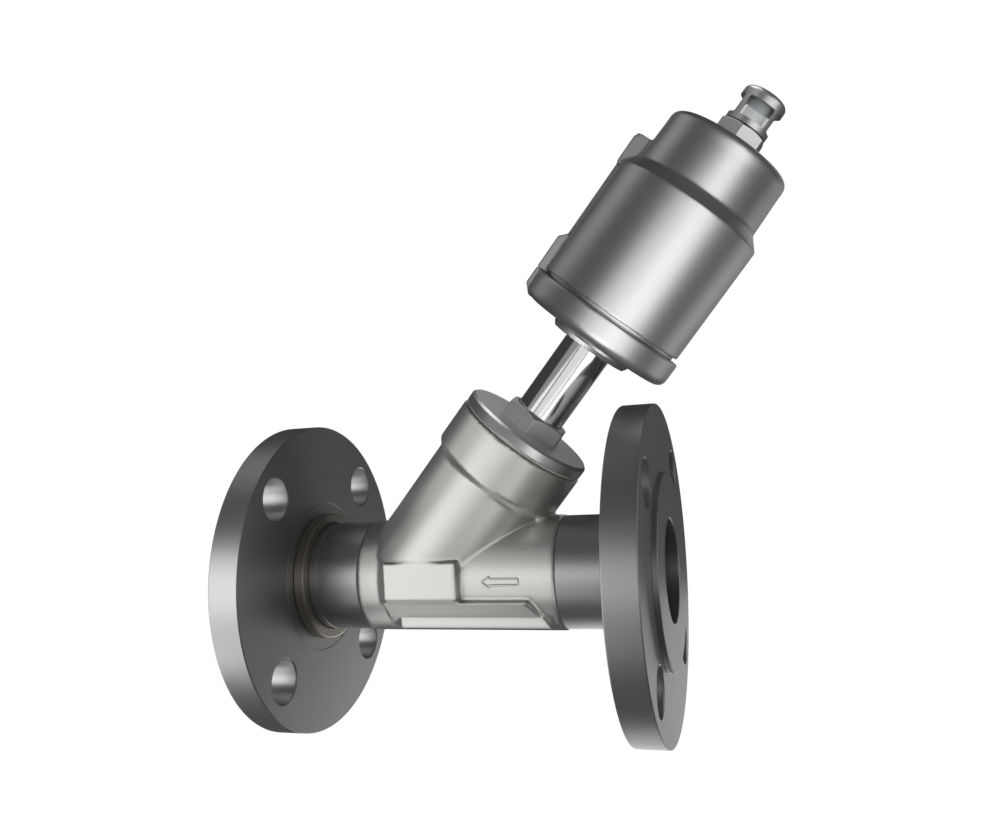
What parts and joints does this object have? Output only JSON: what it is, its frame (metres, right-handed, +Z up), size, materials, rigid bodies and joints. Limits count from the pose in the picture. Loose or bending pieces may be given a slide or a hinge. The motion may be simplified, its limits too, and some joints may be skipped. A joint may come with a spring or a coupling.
{
  "type": "pneumatic angle seat valve",
  "caption": "Stainless angle-seat valve with welded flanges, a slanted bonnet and neck, and a pneumatic piston actuator with a sight indicator that lifts the plug off its seat.",
  "frame": {"origin": "on the pipe run's axis, midway between the two flange faces", "axes": "+X along the run towards the inlet flange, +Z up, the actuator leans from +Z towards +X in the XZ plane"},
  "size_m": [0.2381, 0.14, 0.268],
  "materials": {
    "cast_stainless": "fine bead-blasted casting",
    "turned_stainless": "lathe-turned with fine concentric lines",
    "heat_tinted_weld": "dressed weld with a straw heat tint",
    "machined_stainless": "machined, satin",
    "polished_stainless": "mirror polished",
    "blasted_stainless": "satin bead-blasted",
    "spring_steel": "drawn wire",
    "piston_alloy": "machined aluminium",
    "ptfe": "waxy white",
    "black_rubber": "matt elastomer",
    "clear_plastic": "clear moulded plastic",
    "indicator_red": "red moulded plastic"
  },
  "bodies": {
    "valve_body": {"body_casting": "cast_stainless", "inlet_flange": "turned_stainless", "outlet_flange": "turned_stainless", "inlet_weld": "heat_tinted_weld", "outlet_weld": "heat_tinted_weld", "bonnet": "machined_stainless", "bonnet_gasket": "ptfe", "guide_bush": "ptfe", "packing_ring_1": "ptfe", "packing_ring_2": "ptfe", "packing_ring_3": "ptfe", "packing_washer": "machined_stainless", "packing_spring": "spring_steel", "neck_tube": "polished_stainless", "stem_bush": "ptfe", "stem_seal": "black_rubber", "neck_nut": "machined_stainless", "retaining_ring": "spring_steel"},
    "actuator": {"actuator_base": "blasted_stainless", "base_bush": "ptfe", "neck_o_ring": "black_rubber", "base_o_ring": "black_rubber", "actuator_housing": "blasted_stainless", "spring_plate": "machined_stainless", "return_spring_outer": "spring_steel", "return_spring_inner": "spring_steel", "sight_base": "machined_stainless", "sight_cage": "machined_stainless", "sight_o_ring": "black_rubber", "sight_glass": "clear_plastic"},
    "stem_assembly": {"stem": "polished_stainless", "plug_nut": "machined_stainless", "piston": "piston_alloy", "piston_seal": "black_rubber", "piston_guide_ring": "ptfe", "piston_washer": "machined_stainless", "piston_nut": "machined_stainless", "indicator_rod": "indicator_red"},
    "plug": {"plug_holder": "machined_stainless", "seat_seal": "ptfe", "seal_retainer": "machined_stainless"}
  },
  "joints": [
    {"name": "stem_lift", "type": "slide", "parent": "valve_body", "child": "stem_assembly", "axis": [0.6486, 0, 0.7611], "range_m": [0, 0.016], "stiffness_N_per_m": 20000, "springref_m": -0.005, "deforming": ["return_spring_outer", "return_spring_inner"]},
    {"name": "actuator_swivel", "type": "hinge", "parent": "valve_body", "child": "actuator", "pos_m": [0.06557, 0, 0.10275], "axis": [0.6486, 0, 0.7611], "continuous": true},
    {"name": "plug_swivel", "type": "hinge", "parent": "stem_assembly", "child": "plug", "pos_m": [-0.01162, 0, 0.01218], "axis": [0.6486, 0, 0.7611], "continuous": true}
  ]
}
